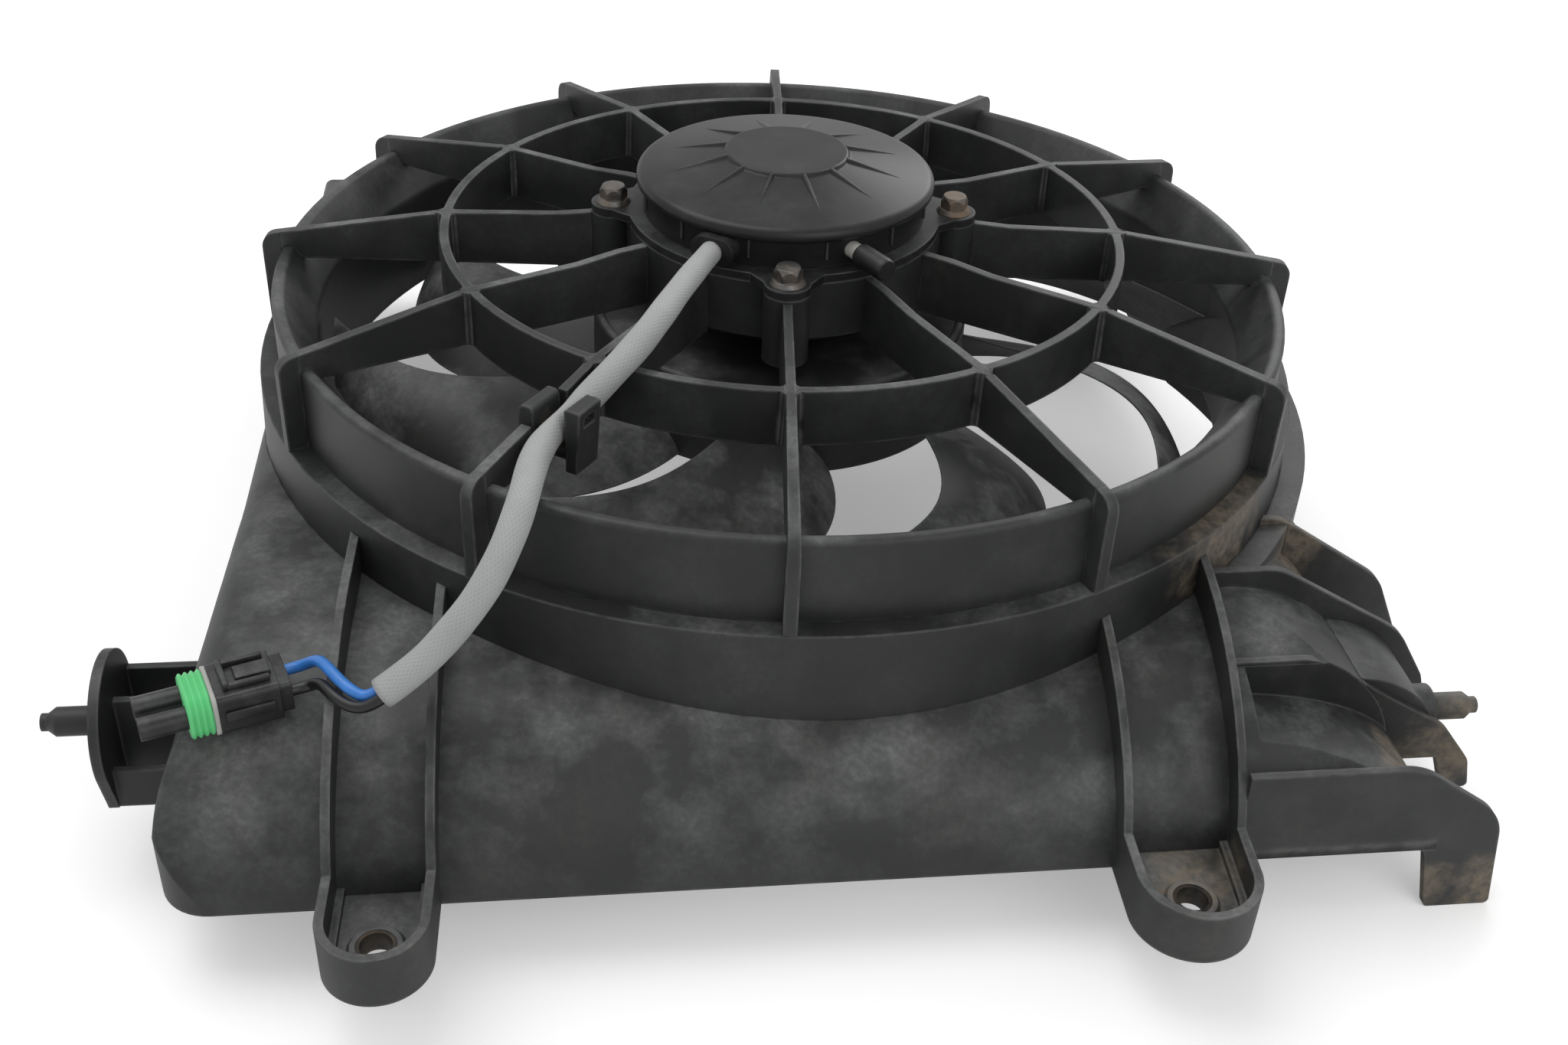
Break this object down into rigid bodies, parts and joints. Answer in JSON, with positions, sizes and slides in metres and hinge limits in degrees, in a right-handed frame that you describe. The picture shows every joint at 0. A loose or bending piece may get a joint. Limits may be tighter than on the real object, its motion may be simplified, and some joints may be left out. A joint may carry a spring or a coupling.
{
  "type": "radiator cooling fan",
  "caption": "Electric cooling fan: black moulded shroud with ribbed round guard, flat sealed motor, swept blades, hooked side fins, locating pins and a short two-wire lead.",
  "frame": {"origin": "on the fan axis in the plane of the shroud's open mouth", "axes": "+Z from the mouth towards the motor, +X to the right along the front edge, -Y towards the two mounting tabs"},
  "size_m": [0.5255, 0.5387, 0.189],
  "materials": {
    "moulded_black": "dusty black glass-filled plastic",
    "motor_black": "satin black coat",
    "fan_black": "dull black moulded plastic",
    "zinc_steel": "weathered zinc-plated steel",
    "bright_steel": "turned steel",
    "dark_steel": "blackened steel",
    "brass": "plain brass",
    "black_rubber": "black rubber",
    "grey_sleeve": "grey woven sleeve",
    "blue_wire": "blue insulation",
    "black_wire": "black insulation",
    "green_seal": "green silicone rubber",
    "connector_black": "black nylon",
    "copper": "enamelled copper",
    "carbon": "pressed carbon",
    "ferrite": "grey ferrite"
  },
  "bodies": {
    "shroud": {"shroud_plenum": "moulded_black", "shroud_barrel": "moulded_black", "bell_mouth": "moulded_black", "guard_arms": "moulded_black", "guard_posts": "moulded_black", "guard_ring": "moulded_black", "motor_ring": "moulded_black", "left_tab": "moulded_black", "right_tab": "moulded_black", "side_fins": "moulded_black", "right_pin_block": "moulded_black", "left_flange": "moulded_black", "cable_clip": "moulded_black", "tab_sleeves": "dark_steel", "threaded_inserts": "brass", "motor_flange": "motor_black", "motor_bolts": "zinc_steel", "motor_can": "dark_steel", "lower_bearing": "bright_steel", "upper_bearing": "bright_steel", "magnets": "ferrite", "motor_cap": "motor_black", "cap_seal": "black_rubber", "cable_gland": "black_rubber", "vent_collar": "bright_steel", "vent_cap": "black_rubber", "brush_holder": "connector_black", "brushes": "carbon", "brush_springs": "bright_steel", "motor_leads": "copper", "cable_sleeve": "grey_sleeve", "blue_wire": "blue_wire", "black_wire": "black_wire", "connector_housing": "connector_black", "connector_seal": "green_seal", "connector_retainer": "connector_black", "connector_contacts": "bright_steel"},
    "rotor": {"motor_shaft": "bright_steel", "armature_core": "ferrite", "armature_windings": "copper", "commutator": "copper", "fan_hub": "fan_black", "fan_blades": "fan_black", "hub_washer": "zinc_steel", "hub_nut": "zinc_steel"}
  },
  "joints": [
    {"name": "fan_spin", "type": "hinge", "parent": "shroud", "child": "rotor", "pos_m": [0, 0, 0.097], "axis": [0, 0, 1], "continuous": true}
  ]
}
